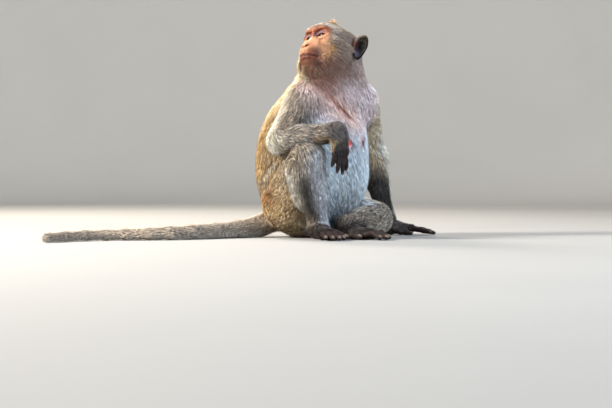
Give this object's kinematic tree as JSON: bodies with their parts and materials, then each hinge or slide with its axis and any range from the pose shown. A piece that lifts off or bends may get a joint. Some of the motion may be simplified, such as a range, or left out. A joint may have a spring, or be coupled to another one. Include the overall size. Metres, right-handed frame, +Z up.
{
  "type": "seated monkey",
  "caption": "Life-size seated long-tailed macaque, one forearm resting on a raised knee, the other arm propping the body, the long tail laid along the ground.",
  "frame": {"origin": "on the ground, under the middle of the rump", "axes": "+X to the right of the front view and away from the tail, -Y towards the front view, +Z up"},
  "size_m": [0.5997, 0.3339, 0.3537],
  "materials": {
    "coat_gold": "golden-brown flecked fur, matte",
    "coat_grey": "grey-brown flecked fur, matte",
    "coat_pale": "short pale grey-white fur, matte",
    "coat_tail": "short grey-beige fur, matte",
    "face_skin": "bare pinkish-tan skin, satin",
    "ear_skin": "thin dark purplish skin, satin",
    "hand_skin": "bare near-black wrinkled skin, satin",
    "eye": "wet dark brown eye, glossy"
  },
  "bodies": {
    "root": {"pelvis": "coat_gold", "belly": "coat_pale", "chest": "coat_grey", "shoulders": "coat_gold", "neck": "coat_grey", "head": "face_skin", "ear_right": "ear_skin", "ear_left": "ear_skin", "eye_right": "eye", "eye_left": "eye", "thigh_right": "coat_gold", "shank_right": "coat_grey", "foot_right": "hand_skin", "upper_arm_right": "coat_grey", "forearm_right": "coat_grey", "hand_right": "hand_skin", "thigh_left": "coat_gold", "shank_left": "coat_grey", "foot_left": "hand_skin", "upper_arm_left": "coat_grey", "forearm_left": "coat_grey", "hand_left": "hand_skin", "tail_1": "coat_tail", "tail_2": "coat_tail", "tail_3": "coat_tail", "tail_4": "coat_tail"}
  },
  "joints": []
}
